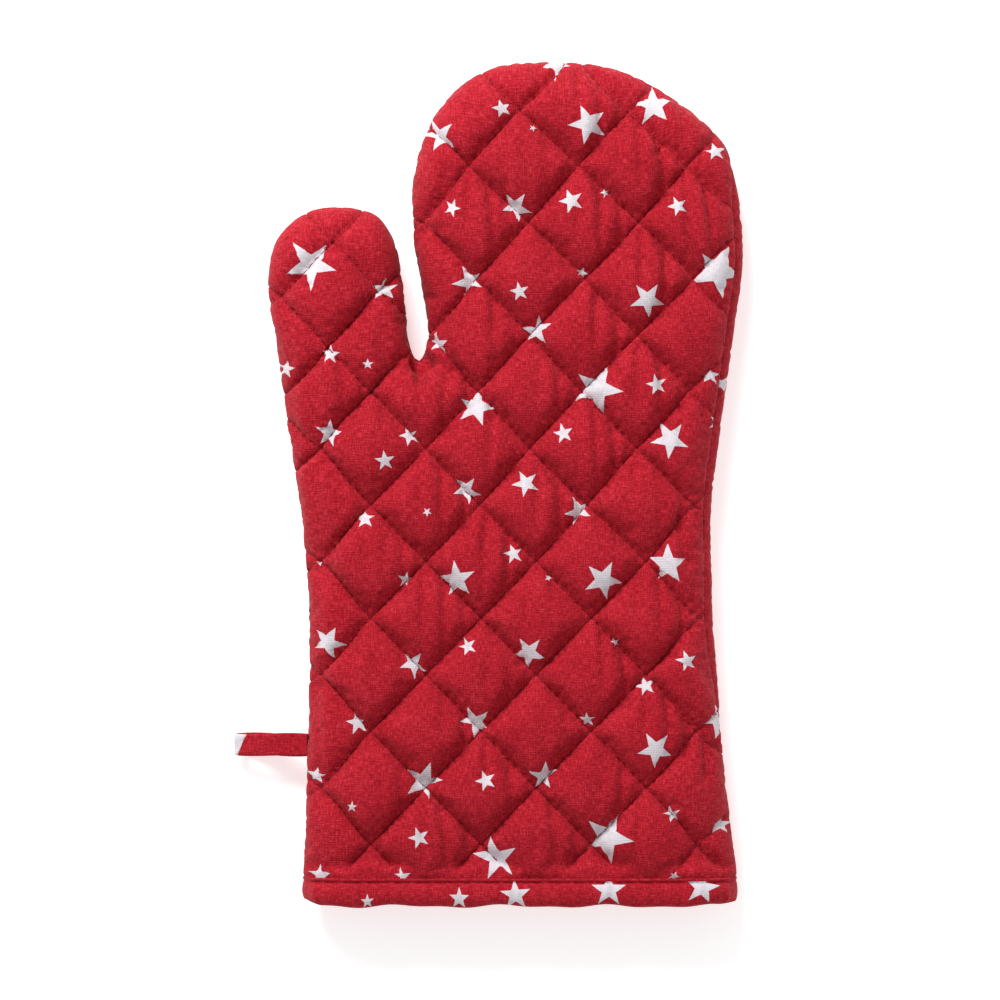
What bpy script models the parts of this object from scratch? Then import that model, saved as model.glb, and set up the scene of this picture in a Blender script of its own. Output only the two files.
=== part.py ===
"""Quilted oven mitt lying on its back, ready to slip a hand into.

Frame: +X runs across the cuff, +Y from the cuff to the fingertips, +Z up from the surface the mitt
lies on. Both panels are stacks of cloth, wadding and lining over one outline, so every sheet is a
height over the same net of points. Lengths are millimetres until a mesh is made.
"""
import math

import bmesh
import bpy
import numpy as np
from mathutils import Vector
from mathutils.geometry import delaunay_2d_cdt

MM = 0.001

# Outline of the two panels, from the cuff's right corner over the fingertips and the thumb.
OUTLINE = [
    (93.6, -148), (90, -116), (87, -82), (84.5, -45), (84.4, -7), (88, 23), (92.8, 57), (96.2, 88.5),
    (94, 111), (88.3, 129), (67, 147.4), (47.4, 156.5), (22.9, 159.2), (-0.6, 156.5), (-18, 143),
    (-28.2, 120), (-28.7, 90), (-24.4, 66), (-23.8, 54), (-27, 46.6), (-30.2, 54), (-32.7, 75),
    (-36.5, 92), (-43.7, 101.5), (-56, 104.3), (-69.4, 102), (-80.3, 92), (-84, 76), (-80.3, 47.6),
    (-75, 11), (-70, -28), (-68.5, -66), (-69.6, -110), (-70.5, -148),
]
OUTLINE_STEP = 10.0
RING_INSET = 6.0
RING_STEP = 13.0
RING_CLEAR = 3.5
FLAT_PATCH = 0.22
CUFF_ROW = -148.0
CUFF_END = -158.6
CUFF_SPANS = 11

# Heights
TOP = 28.0
SEAM_HEIGHT = 11.0
CROWN_FRONT = 28.0
CROWN_BACK = 14.0

# Sheets
CLOTH = 0.6
LINING = 0.5
SHEET_GAP = 0.35
WADDING_EDGE = 1.6
WADDING_LINE = 2.6
WADDING_FULL = 6.5
WADDING_CROWN = 14.0
MIDDLE_GAP = 0.3

# Quilting: stitched diamonds, and how deep the stitching pulls the cloth in
LATTICE_X = -3.2
LATTICE_Y = -94.1
PITCH_X = 41.6
PITCH_Y = 42.7
VALLEY = 2.6
VALLEY_WIDTH = 0.25
NOTCH_X = -27.5
NOTCH_Y = 46.0
NOTCH_LEAN = 0.12
FINGER_LEAN = -6.5
LEAN_RAMP = 110.0
HEEL_SHIFT = -3.6
HEEL_LEFT = -35.0
HEEL_WIDTH = 80.0
HEEL_LOW = -30.0
HEEL_HIGH = 95.0
HEEL_RAMP = 45.0
THUMB_LEAN = -0.3
LINE_END = -145.0
THREAD = 0.5
THREAD_LEVELS = {"rising": 0.5, "falling": 1.5}
THREAD_TRIM = 3.0
SHORTEST_THREAD = 34.0

# Cuff binding
BIND_TOP = -149.5
BIND_END = -160.0
BIND_CLOTH = 0.8
BIND_GAP = 0.35
STITCH_Y = -150.8
STITCH = 0.4
CUFF_LIFT = BIND_GAP + BIND_CLOTH + SHEET_GAP + STITCH
CUFF_RAMP = 30.0
CUFF_SPREAD = 2.2

# Hanging loop
LOOP_ROOT = (-71.1, -99.75)
LOOP_WIDTH = 8.7
LOOP_CLOTH = 1.2
LOOP_LENGTH = 27.2
LOOP_HALF = 3.7
LOOP_TIP = 5.0
LOOP_DROP = math.radians(17.0)

# Folds
FOLD_GAP = 1.0
FINGER_FOLD_Y = 80.0
THUMB_FOLD_V = -4.5
THUMB_START_V = -4.0


def smooth(value):
    value = min(1.0, max(0.0, value))
    return value * value * (3.0 - 2.0 * value)


def crown(value):
    value = min(1.0, max(0.0, value))
    return (1.0 - (1.0 - value) ** 2) ** 0.7


def spline(points, step):
    """Centripetal Catmull-Rom curve through the points, with a point about every step."""
    knots = [Vector(point) for point in points]
    knots = [2 * knots[0] - knots[1]] + knots + [2 * knots[-1] - knots[-2]]
    curve = []
    for p0, p1, p2, p3 in zip(knots, knots[1:], knots[2:], knots[3:]):
        t1 = (p1 - p0).length ** 0.5
        t2 = t1 + (p2 - p1).length ** 0.5
        t3 = t2 + (p3 - p2).length ** 0.5
        count = max(1, round((p2 - p1).length / step))
        for index in range(count):
            t = t1 + (t2 - t1) * index / count
            a1 = p0.lerp(p1, t / t1)
            a2 = p1.lerp(p2, (t - t1) / (t2 - t1))
            a3 = p2.lerp(p3, (t - t2) / (t3 - t2))
            b1 = a1.lerp(a2, t / t2)
            b2 = a2.lerp(a3, (t - t1) / (t3 - t1))
            curve.append(b1.lerp(b2, (t - t1) / (t2 - t1)))
    curve.append(knots[-2])
    return curve


SIDES = spline(OUTLINE, OUTLINE_STEP)
LEFT = SIDES[-1].x
RIGHT = SIDES[0].x


def cuff_stations():
    middle = (LEFT + RIGHT) / 2
    half = (RIGHT - LEFT) / 2
    return [middle - half * math.cos(math.pi * i / CUFF_SPANS) for i in range(CUFF_SPANS + 1)]


STATIONS = cuff_stations()
POLYGON = np.array([tuple(point) for point in SIDES] + [(x, CUFF_END) for x in STATIONS])
SIDE_LINE = np.array([tuple(point) for point in spline(OUTLINE, 2.5)])


def side_distance(x, y):
    """Distance to the sewn sides; the cuff's own edge is open and doesn't count."""
    point = np.array((x, max(y, CUFF_ROW)))
    start = SIDE_LINE[:-1]
    along = SIDE_LINE[1:] - start
    t = ((point - start) * along).sum(axis=1) / (along * along).sum(axis=1)
    nearest = start + along * np.clip(t, 0.0, 1.0)[:, None]
    return float(np.sqrt(((nearest - point) ** 2).sum(axis=1).min()))


def inside(x, y):
    x0, y0 = POLYGON[:, 0], POLYGON[:, 1]
    x1, y1 = np.roll(x0, -1), np.roll(y0, -1)
    spans = (y0 > y) != (y1 > y)
    crossing = x0 + (y - y0) * (x1 - x0) / np.where(spans, y1 - y0, 1.0)
    return bool(np.count_nonzero(spans & (x < crossing)) % 2)


# Quilting lattice. Lines of whole u fall to the right and lines of whole v rise to the right.

def thumb_side(x, y):
    """True left of the notch between the thumb and the fingers."""
    return x < NOTCH_X - NOTCH_LEAN * max(0.0, y - NOTCH_Y)


def hand_shift(x, y):
    """Sideways shift of the lattice: a lean over the fingers, and a gather across the heel."""
    lean = FINGER_LEAN * smooth((y - NOTCH_Y) / LEAN_RAMP)
    gather = HEEL_SHIFT * smooth((x - HEEL_LEFT) / HEEL_WIDTH)
    return lean + gather * smooth((y - HEEL_LOW) / HEEL_RAMP) * smooth((HEEL_HIGH - y) / HEEL_RAMP)


def thumb_shift(v):
    return THUMB_LEAN * smooth((THUMB_START_V - v) / 1.2)


def plain_uv(x, y):
    across = (x - LATTICE_X) / PITCH_X
    up = (y - LATTICE_Y) / PITCH_Y
    return across + up, across - up


def lattice_uv(x, y):
    u, v = plain_uv(x, y)
    if v < THUMB_START_V and thumb_side(x, y):
        return u, v + thumb_shift(v)
    return plain_uv(x - hand_shift(x, y), y)


def lattice_point(u, v, thumb):
    """Where a lattice point lies on the mitt, on the thumb's part of the cloth or the hand's."""
    if thumb:
        low, high = v, v - THUMB_LEAN
        for _ in range(40):
            middle = (low + high) / 2
            if middle + thumb_shift(middle) < v:
                low = middle
            else:
                high = middle
        v = high
    x = LATTICE_X + PITCH_X * (u + v) / 2
    y = LATTICE_Y + PITCH_Y * (u - v) / 2
    if thumb:
        return x, y
    shifted = x
    for _ in range(6):
        shifted = x + hand_shift(shifted, y)
    return shifted, y


def on_cloth(x, y, thumb):
    if not inside(x, y) or y < LINE_END:
        return False
    is_thumb = plain_uv(x, y)[1] < THUMB_START_V and thumb_side(x, y)
    return is_thumb == thumb


def line_stretches(family, number):
    """The stretches of one stitched line that lie on the cloth, each a list of points."""
    fine = 0.02
    steps = [-8.0 + fine * i for i in range(int(17.0 / fine) + 1)]
    runs = []
    for thumb in (False, True):
        run = []
        for t in steps:
            u, v = (number, t) if family == "falling" else (t, number)
            x, y = lattice_point(u, v, thumb)
            if on_cloth(x, y, thumb):
                run.append((t, x, y))
            elif run:
                runs.append(run)
                run = []
    joined = []
    for run in sorted(runs):
        if joined and math.dist(joined[-1][-1][1:], run[0][1:]) < 2.0:
            joined[-1] += run
        else:
            joined.append(run)
    return joined


def beyond(point, before, length):
    """A point a little past the end of a line, so that the net cuts it at the outline."""
    direction = (Vector(point) - Vector(before)).normalized()
    return tuple(Vector(point) + direction * length)


def line_nodes(run):
    """Ends, lattice crossings and the two places where the panel's edge starts to round off."""
    kept = {0, len(run) - 1}
    kept.update(i for i, p in enumerate(run) if abs(p[0] - round(p[0])) < 1e-6)
    deep = [i for i, p in enumerate(run) if side_distance(p[1], p[2]) > RING_INSET]
    kept.update((deep[0], deep[-1]))
    nodes = []
    for i in sorted(kept):
        if not nodes or i == len(run) - 1 or math.dist(nodes[-1], run[i][1:]) > 2.0:
            nodes.append(run[i][1:])
    return nodes


def constraint_lines():
    """Every stitched line as a polyline, bent only where the lattice has a crossing."""
    lines = {}
    for family in ("rising", "falling"):
        count = 0
        for number in range(-7, 8):
            for run in line_stretches(family, number):
                if math.dist(run[0][1:], run[-1][1:]) < SHORTEST_THREAD:
                    continue
                points = line_nodes(run)
                if points[0][1] > LINE_END + 2:
                    points[0] = beyond(points[0], points[1], 1.0)
                if points[-1][1] > LINE_END + 2:
                    points[-1] = beyond(points[-1], points[-2], 1.0)
                count += 1
                lines[f"{family}_{count:02d}"] = points
    return lines


LINES = constraint_lines()


def thumb_fold(offset):
    """The thumb's fold, a line along the rising stitching, moved by offset towards the thumb."""
    slope = Vector((1 / PITCH_X, -1 / PITCH_Y))
    start = Vector(lattice_raw(1.0, THUMB_FOLD_V)) - slope.normalized() * offset
    end = Vector(lattice_raw(3.6, THUMB_FOLD_V)) - slope.normalized() * offset
    return [tuple(start), tuple(end)]


def lattice_raw(u, v):
    return LATTICE_X + PITCH_X * (u + v) / 2, LATTICE_Y + PITCH_Y * (u - v) / 2


def fold_lines():
    half = FOLD_GAP / 2
    low, high = FINGER_FOLD_Y - half, FINGER_FOLD_Y + half
    return {
        "finger_low": [(-30.5, low), (100.0, low)],
        "finger_high": [(-30.5, high), (100.0, high)],
        "thumb_low": thumb_fold(-half),
        "thumb_high": thumb_fold(half),
    }


def region(x, y):
    """Which of the three wadding pieces a place belongs to; None in the gap at a fold."""
    half = FOLD_GAP / 2
    if thumb_side(x, y):
        offset = (THUMB_FOLD_V - plain_uv(x, y)[1]) / math.hypot(1 / PITCH_X, 1 / PITCH_Y)
        outer, inner = "thumb", "palm"
    else:
        offset = y - FINGER_FOLD_Y
        outer, inner = "fingers", "palm"
    if abs(offset) < half:
        return None
    return outer if offset > 0 else inner


def line_distance(x, y):
    """Rough distance to the nearest stitched line."""
    u, v = lattice_uv(x, y)
    nearest = min(abs(u - round(u)), abs(v - round(v)))
    return nearest / math.hypot(1 / PITCH_X, 1 / PITCH_Y)


def ring_points():
    """Points a little inside the sewn sides, to round the panels' edges."""
    curve = spline(OUTLINE, RING_STEP)
    points = []
    for before, point, after in zip(curve, curve[1:], curve[2:]):
        along = (after - before).normalized()
        x, y = point + Vector((-along.y, along.x)) * RING_INSET
        if side_distance(x, y) > RING_INSET * 0.9 and y > LINE_END and line_distance(x, y) > RING_CLEAR:
            points.append((x, y))
    return points


def diamond_points(spread):
    """Points inside each stitched diamond: its middle, or the corners of a flat patch there."""
    corners = [(0, 0)]
    if spread:
        corners = [(a, b) for a in (-spread, spread) for b in (-spread, spread)]
    points = []
    for thumb in (False, True):
        for u in range(-5, 9):
            for v in range(-9, 6):
                for a, b in corners:
                    x, y = lattice_point(u + 0.5 + a, v + 0.5 + b, thumb)
                    if on_cloth(x, y, thumb) and side_distance(x, y) > 9 and y > LINE_END + 4:
                        points.append((x, y))
    return points


def build_net(extra):
    """Triangles over the outline, cut along the stitched lines, the folds and the cuff row."""
    points = [tuple(p) for p in POLYGON]
    count = len(points)
    edges = [(i, (i + 1) % count) for i in range(count)]
    labels = ["outline"] * count
    first = len(points)
    points += [(x, CUFF_ROW) for x in STATIONS[1:-1]]
    row = [len(SIDES) - 1] + list(range(first, len(points))) + [0]
    edges += list(zip(row, row[1:]))
    labels += ["cuff"] * (len(row) - 1)
    for label, line in {**LINES, **fold_lines()}.items():
        first = len(points)
        points += line
        edges += [(first + i, first + i + 1) for i in range(len(line) - 1)]
        labels += [label] * (len(line) - 1)
    placed = np.array(points)
    for point in extra:
        if np.hypot(*(placed - point).T).min() > 4.0:
            points.append(point)
            placed = np.vstack([placed, point])
    result = delaunay_2d_cdt([Vector(p) for p in points], edges, [], 0, 1e-4)
    net_points = [(p.x, p.y) for p in result[0]]
    triangles = []
    for face in result[2]:
        x = sum(net_points[i][0] for i in face) / 3
        y = sum(net_points[i][1] for i in face) / 3
        if inside(x, y):
            triangles.append(tuple(face))
    chains = {}
    for edge, sources in zip(result[1], result[4]):
        x = (net_points[edge[0]][0] + net_points[edge[1]][0]) / 2
        y = (net_points[edge[0]][1] + net_points[edge[1]][1]) / 2
        for source in sources:
            if source < len(labels) and labels[source] in LINES and inside(x, y):
                chains.setdefault(labels[source], set()).update(edge)
    chains = {label: sorted(chain, key=lambda i: net_points[i][0]) for label, chain in chains.items()}
    return net_points, triangles, chains


# Heights of the sheets

def fullness(x, y):
    """1 in the middle of a diamond, 0 on a stitched line, and 0 near the sides and the cuff."""
    u, v = lattice_uv(x, y)
    nearest = min(abs(u - round(u)), abs(v - round(v)))
    puff = 1.0 - max(0.0, 1.0 - nearest / VALLEY_WIDTH) ** 2
    return puff, smooth(side_distance(x, y) / 10.0) * smooth((y - LINE_END) / 10.0)


def wadding_thickness(x, y):
    puff, fade = fullness(x, y)
    full = WADDING_LINE + (WADDING_FULL - WADDING_LINE) * puff
    rise = crown(side_distance(x, y) / WADDING_CROWN) * smooth((y - CUFF_ROW) / 20.0)
    return WADDING_EDGE + (full - WADDING_EDGE) * rise * fade ** 0.3


def rim_half(y):
    stack = CLOTH + SHEET_GAP + WADDING_EDGE + SHEET_GAP + LINING + MIDDLE_GAP / 2
    return stack + CUFF_SPREAD * (1.0 - smooth((y - CUFF_ROW) / 28.0))


def outer_height(panel, x, y):
    """Height of the panel's outer face."""
    puff, fade = fullness(x, y)
    valley = VALLEY * (1.0 - puff) * fade
    distance = side_distance(x, y)
    thinning = CUFF_LIFT * (1.0 - smooth((y - CUFF_ROW) / CUFF_RAMP))
    if panel == "front":
        rim = SEAM_HEIGHT + rim_half(y)
        return rim + (TOP - thinning - rim) * crown(distance / CROWN_FRONT) - valley
    rim = SEAM_HEIGHT - rim_half(y)
    return rim + (thinning - rim) * crown(distance / CROWN_BACK) + valley


def sheet_heights(panel, x, y):
    """Outer and inner heights of cloth, wadding and lining, walking inwards."""
    y = max(y, CUFF_ROW)
    inward = -1.0 if panel == "front" else 1.0
    steps = [CLOTH, SHEET_GAP, wadding_thickness(x, y), SHEET_GAP, LINING]
    heights = [outer_height(panel, x, y)]
    for step in steps:
        heights.append(heights[-1] + inward * step)
    return {"cloth": heights[0:2], "wadding": heights[2:4], "lining": heights[4:6]}


# Blender objects

def material(name, colour, roughness):
    made = bpy.data.materials.new(name)
    made.use_nodes = True
    shader = made.node_tree.nodes["Principled BSDF"]
    shader.inputs["Base Color"].default_value = (*colour, 1.0)
    shader.inputs["Roughness"].default_value = roughness
    shader.inputs["Metallic"].default_value = 0.0
    made.diffuse_color = (*colour, 1.0)
    return made


def add_empty(name, place):
    empty = bpy.data.objects.new(name, None)
    empty.location = Vector(place) * MM
    empty.empty_display_type = "ARROWS"
    empty.empty_display_size = 0.02
    bpy.context.collection.objects.link(empty)
    return empty


def add_solid(name, points, faces, made, parent=None):
    """One closed body; its points are in millimetres in the mitt's frame."""
    origin = parent.location if parent else Vector((0, 0, 0))
    mesh = bpy.data.meshes.new(name)
    mesh.from_pydata([Vector(point) * MM - origin for point in points], [], faces)
    work = bmesh.new()
    work.from_mesh(mesh)
    bmesh.ops.recalc_face_normals(work, faces=work.faces)
    work.to_mesh(mesh)
    work.free()
    mesh.materials.append(made)
    solid = bpy.data.objects.new(name, mesh)
    bpy.context.collection.objects.link(solid)
    solid.parent = parent
    return solid


def add_sheet(name, net, chosen, heights, made, parent=None):
    """A sheet between two heights over the chosen triangles, with walls along their border."""
    net_points, triangles, _ = net
    used = sorted({i for n in chosen for i in triangles[n]})
    place = {index: order for order, index in enumerate(used)}
    count = len(used)
    points = [(*net_points[i], heights[i][0]) for i in used]
    points += [(*net_points[i], heights[i][1]) for i in used]
    faces = []
    border = {}
    for n in chosen:
        a, b, c = (place[i] for i in triangles[n])
        faces.append((a, b, c))
        faces.append((c + count, b + count, a + count))
        for edge in ((a, b), (b, c), (c, a)):
            if edge[::-1] in border:
                del border[edge[::-1]]
            else:
                border[edge] = True
    faces += [(a, a + count, b + count, b) for a, b in border]
    return add_solid(name, points, faces, made, parent)


def band_faces(stations, corners, closed):
    """Faces of a tube whose stations each have the same number of corners."""
    faces = []
    for i in range(stations if closed else stations - 1):
        here, there = corners * i, corners * ((i + 1) % stations)
        for k in range(corners):
            n = (k + 1) % corners
            faces.append((here + k, here + n, there + n, there + k))
    if not closed:
        faces.append(tuple(reversed(range(corners))))
        faces.append(tuple(corners * (stations - 1) + k for k in range(corners)))
    return faces


def add_thread(name, path, low, high, made, parent=None):
    """A thread of square section along the path, between two rises over it."""
    points = []
    for place, side in zip(path, sideways_of(path)):
        for width, height in ((-0.5, low), (0.5, low), (0.5, high), (-0.5, high)):
            points.append(tuple(place + side * width * THREAD + Vector((0, 0, height))))
    return add_solid(name, points, band_faces(len(path), 4, False), made, parent)


def trimmed(path, length):
    """The path without its first and last few millimetres."""
    path = [Vector(point) for point in path]
    for _ in range(2):
        path.reverse()
        left = length
        while (path[1] - path[0]).length <= left + 0.5:
            left -= (path[1] - path[0]).length
            path.pop(0)
        if left > 0:
            path[0] = path[0] + (path[1] - path[0]).normalized() * left
    return path


def sideways_of(path):
    sides = []
    for i in range(len(path)):
        before, after = path[max(0, i - 1)], path[min(len(path) - 1, i + 1)]
        along = after - before
        sides.append(Vector((-along.y, along.x, 0)).normalized())
    return sides


def add_quilt_threads(panel, net, heights, made, folds):
    """One thread for each stitched line; the falling lines lie over the rising ones."""
    net_points, _, chains = net
    for label, chain in sorted(chains.items()):
        rise = THREAD_LEVELS[label.split("_")[0]]
        low, high = (rise, rise + THREAD) if panel == "front" else (-rise - THREAD, -rise)
        path = trimmed([(*net_points[i], heights[i][0]) for i in chain], THREAD_TRIM)
        places = {region(point.x, point.y) for point in path}
        parent = folds.get(places.pop()) if len(places) == 1 else None
        add_thread(f"{panel}_thread_{label}", path, low, high, made, parent)


def add_panel(panel, net, mats, folds):
    """Cloth, three pieces of wadding, lining and quilting threads of one panel."""
    net_points, triangles, _ = net
    heights = [sheet_heights(panel, x, y) for x, y in net_points]
    everything = range(len(triangles))
    cloth = [h["cloth"] for h in heights]
    add_sheet(f"{panel}_outer_cloth", net, everything, cloth, mats["cloth"])
    add_sheet(f"{panel}_lining", net, everything, [h["lining"] for h in heights], mats["lining"])
    pieces = {"palm": [], "fingers": [], "thumb": []}
    for n, corners in enumerate(triangles):
        x = sum(net_points[i][0] for i in corners) / 3
        y = sum(net_points[i][1] for i in corners) / 3
        where = region(x, y)
        if where:
            pieces[where].append(n)
    wadding = [h["wadding"] for h in heights]
    for where, chosen in pieces.items():
        add_sheet(f"{panel}_wadding_{where}", net, chosen, wadding, mats["wadding"], folds.get(where))
    add_quilt_threads(panel, net, cloth, mats["thread"], folds)


def mouth_loop():
    """The cuff's rim as stations of (outer point, outward, inner point, inward) in X and Z."""
    front = [sheet_heights("front", x, CUFF_ROW) for x in STATIONS]
    back = [sheet_heights("back", x, CUFF_ROW) for x in STATIONS]
    up, down = Vector((0, 1)), Vector((0, -1))
    stations = []

    def corner(x, side, z_outer, z_inner, lean):
        outward = Vector((side, lean))
        stations.append((Vector((x, z_outer)), outward, Vector((x - side * 1.9, z_inner)), -outward))

    for side, x, order in ((1, RIGHT, range(1, CUFF_SPANS)), (-1, LEFT, range(CUFF_SPANS - 1, 0, -1))):
        top = front if side == 1 else back
        out, into = (up, down) if side == 1 else (down, up)
        for i in order:
            place = STATIONS[i]
            stations.append((Vector((place, top[i]["cloth"][0])), out,
                             Vector((place, top[i]["lining"][1])), into))
        rim = 0 if side == -1 else CUFF_SPANS
        z_front, z_back = front[rim]["cloth"][0], back[rim]["cloth"][0]
        l_front, l_back = front[rim]["lining"][1], back[rim]["lining"][1]
        levels = [(z_front, l_front, 1.0), ((z_front + z_back) / 2, SEAM_HEIGHT, 0.0),
                  (z_back, l_back, -1.0)]
        for z_outer, z_inner, lean in levels[::side]:
            corner(x, side, z_outer, z_inner, lean)
    return stations


def add_binding(mats):
    """A folded strip round the mouth: a U over the raw edges of both panels."""
    full = BIND_GAP + BIND_CLOTH
    soft = BIND_END + 0.7
    floor = CUFF_END - BIND_GAP
    points = []
    stitch = []
    stations = mouth_loop()
    for outer, outward, inner, inward in stations:
        over = [outer + outward * full, outer + outward * BIND_GAP]
        under = [inner + inward * full, inner + inward * BIND_GAP]
        section = [
            (over[0], BIND_TOP), (over[0], soft), (over[1], BIND_END), (under[1], BIND_END),
            (under[0], soft), (under[0], BIND_TOP), (under[1], BIND_TOP), (under[1], floor),
            (over[1], floor), (over[1], BIND_TOP),
        ]
        points += [(spot.x, y, spot.y) for spot, y in section]
        for distance, y in ((0, -0.5), (0, 0.5), (1, 0.5), (1, -0.5)):
            spot = outer + outward * (full + SHEET_GAP + distance * STITCH)
            stitch.append((spot.x, STITCH_Y + y * STITCH, spot.y))
    count = len(stations)
    add_solid("cuff_binding", points, band_faces(count, 10, True), mats["cloth"])
    add_solid("binding_topstitch", stitch, band_faces(count, 4, True), mats["thread"])


def add_seam_thread(mats):
    """The thread that closes the sides, just outside the two panels' rims."""
    path = [Vector((p.x, p.y, SEAM_HEIGHT)) for p in SIDES]
    outwards = [-side for side in sideways_of(path)]
    path = [p + out * (SHEET_GAP + THREAD / 2) for p, out in zip(path, outwards)]
    add_thread("side_seam_thread", path, -THREAD / 2, THREAD / 2, mats["thread"])


def loop_centre_line():
    """Teardrop of the hanging loop in its own plane: distance out from the seam and height."""
    end = LOOP_LENGTH - LOOP_TIP - LOOP_CLOTH / 2
    root = LOOP_CLOTH / 2 + MIDDLE_GAP / 2
    upper = []
    for i in range(9):
        out = end * i / 8
        upper.append((out, root + (LOOP_HALF - root) * smooth(out / (end * 0.75))))
    tip = []
    for i in range(1, 8):
        angle = math.pi * i / 8
        tip.append((end + LOOP_TIP * math.sin(angle), LOOP_HALF * math.cos(angle)))
    return upper + tip + [(out, -height) for out, height in reversed(upper)]


def add_loop(mats):
    line = [Vector(point) for point in loop_centre_line()]
    hinge = add_empty("loop_hinge", (*LOOP_ROOT, SEAM_HEIGHT))
    outer, inner = [], []
    for i, point in enumerate(line):
        along = (line[min(i + 1, len(line) - 1)] - line[max(i - 1, 0)]).normalized()
        if i in (0, len(line) - 1):
            along = Vector((1.0 if i == 0 else -1.0, 0.0))
        normal = Vector((-along.y, along.x)) * (LOOP_CLOTH / 2)
        outer.append(point + normal)
        inner.append(point - normal)
    cos_drop, sin_drop = math.cos(LOOP_DROP), math.sin(LOOP_DROP)
    points = []
    for edge in (-LOOP_WIDTH / 2, LOOP_WIDTH / 2):
        for spot in outer + inner:
            x = LOOP_ROOT[0] - spot.x * cos_drop - spot.y * sin_drop
            z = SEAM_HEIGHT - spot.x * sin_drop + spot.y * cos_drop
            points.append((x, LOOP_ROOT[1] + edge, z))
    count = len(line)
    side = 2 * count
    faces = []
    for i in range(count - 1):
        o, n = i, count + i
        faces.append((o, o + 1, n + 1, n))
        faces.append((side + n, side + n + 1, side + o + 1, side + o))
        faces.append((o + 1, o, side + o, side + o + 1))
        faces.append((n, n + 1, side + n + 1, side + n))
    faces.append((0, count, side + count, side))
    faces.append((2 * count - 1, count - 1, side + count - 1, side + 2 * count - 1))
    add_solid("hanging_loop", points, faces, mats["cloth"], hinge)


def main():
    for existing in list(bpy.data.objects):
        bpy.data.objects.remove(existing)
    mats = {
        "cloth": material("printed_linen", (0.50, 0.012, 0.030), 0.85),
        "lining": material("lining_cotton", (0.55, 0.53, 0.49), 0.9),
        "wadding": material("wadding_fibre", (0.78, 0.77, 0.74), 1.0),
        "thread": material("sewing_thread", (0.42, 0.012, 0.028), 0.7),
    }
    thumb_root = lattice_raw(2.3, THUMB_FOLD_V)
    folds = {
        "fingers": add_empty("finger_fold_axis", (34.0, FINGER_FOLD_Y, TOP)),
        "thumb": add_empty("thumb_fold_axis", (*thumb_root, TOP)),
    }
    ring = ring_points()
    front_net = build_net(ring + diamond_points(0.0))
    back_net = build_net(ring + diamond_points(FLAT_PATCH))
    add_panel("front", front_net, mats, folds)
    add_panel("back", back_net, mats, folds)
    add_binding(mats)
    add_seam_thread(mats)
    add_loop(mats)


main()
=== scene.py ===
"""Quilted oven mitt lying on its back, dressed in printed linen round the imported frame.

Every cloth is cut as a flat net of points over the mitt's outline, rolled over the padded edge,
quilted, and puffed between its stitched lines by a short cloth simulation. Wrinkles, and the folds
that run out of the crotch, are added after it. Lengths are millimetres until a mesh is made.
"""
import math

import bmesh
import bpy
import numpy as np
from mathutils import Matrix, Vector, noise
from mathutils.geometry import delaunay_2d_cdt


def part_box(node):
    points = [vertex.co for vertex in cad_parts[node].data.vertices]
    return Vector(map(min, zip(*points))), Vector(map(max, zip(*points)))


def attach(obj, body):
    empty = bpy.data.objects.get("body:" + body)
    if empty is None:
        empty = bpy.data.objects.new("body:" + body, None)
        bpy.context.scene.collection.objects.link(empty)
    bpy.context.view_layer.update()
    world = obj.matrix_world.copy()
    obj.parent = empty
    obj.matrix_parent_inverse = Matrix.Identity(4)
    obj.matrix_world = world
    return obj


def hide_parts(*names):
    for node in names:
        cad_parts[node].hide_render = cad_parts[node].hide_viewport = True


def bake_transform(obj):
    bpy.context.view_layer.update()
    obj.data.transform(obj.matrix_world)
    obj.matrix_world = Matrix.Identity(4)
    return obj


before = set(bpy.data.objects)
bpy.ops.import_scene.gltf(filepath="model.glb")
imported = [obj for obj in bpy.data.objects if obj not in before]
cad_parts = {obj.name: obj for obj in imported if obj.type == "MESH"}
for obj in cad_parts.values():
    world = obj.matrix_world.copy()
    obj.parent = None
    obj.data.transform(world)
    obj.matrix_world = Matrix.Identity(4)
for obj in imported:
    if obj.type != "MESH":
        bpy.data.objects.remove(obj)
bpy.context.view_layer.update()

MM = 0.001
RANDOM = np.random.default_rng(11)

# Heights come from the frame
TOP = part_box("front_outer_cloth")[1].z / MM
SEAM = sum(corner.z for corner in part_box("side_seam_thread")) / 2 / MM
CUFF_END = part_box("cuff_binding")[0].y / MM
CUFF_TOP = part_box("cuff_binding")[1].y / MM

# The sewn sides of both panels, from the cuff's right corner over fingertips and thumb.
OUTLINE = [
    (93.6, -148), (90, -116), (87, -82), (84.5, -45), (84.4, -7), (88, 23), (92.8, 57), (96.2, 88.5),
    (94, 111), (88.3, 129), (67, 147.4), (47.4, 156.5), (22.9, 159.6), (-0.6, 156.5), (-18, 143),
    (-28.2, 120), (-28.7, 90), (-24.4, 66), (-23.8, 54), (-27, 46.6), (-30.2, 54), (-32.7, 75),
    (-36.5, 92), (-43.7, 101.5), (-56, 104.3), (-69.4, 102), (-80.3, 92), (-84, 76), (-80.3, 47.6),
    (-75, 11), (-70, -28), (-68.5, -66), (-69.6, -110), (-70.5, -148),
]

# Quilting lattice: spacing across and up, and how it leans over the fingers and the thumb
LATTICE_X, LATTICE_Y = -3.2, -94.1
PITCH_X, PITCH_Y = 41.6, 42.7
LINE_GAP = 1.0 / math.hypot(1 / PITCH_X, 1 / PITCH_Y)
FINGER_LEAN = -6.5
THUMB_LEAN = -0.3
HEEL_SHIFT = -3.6
THUMB_START_V = -4.0
THUMB_FALLING = 0.5
NOTCH_X, NOTCH_Y = -27.5, 46.0
NOTCH_SINK, NOTCH_SPREAD = 2.4, 7.0

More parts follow.
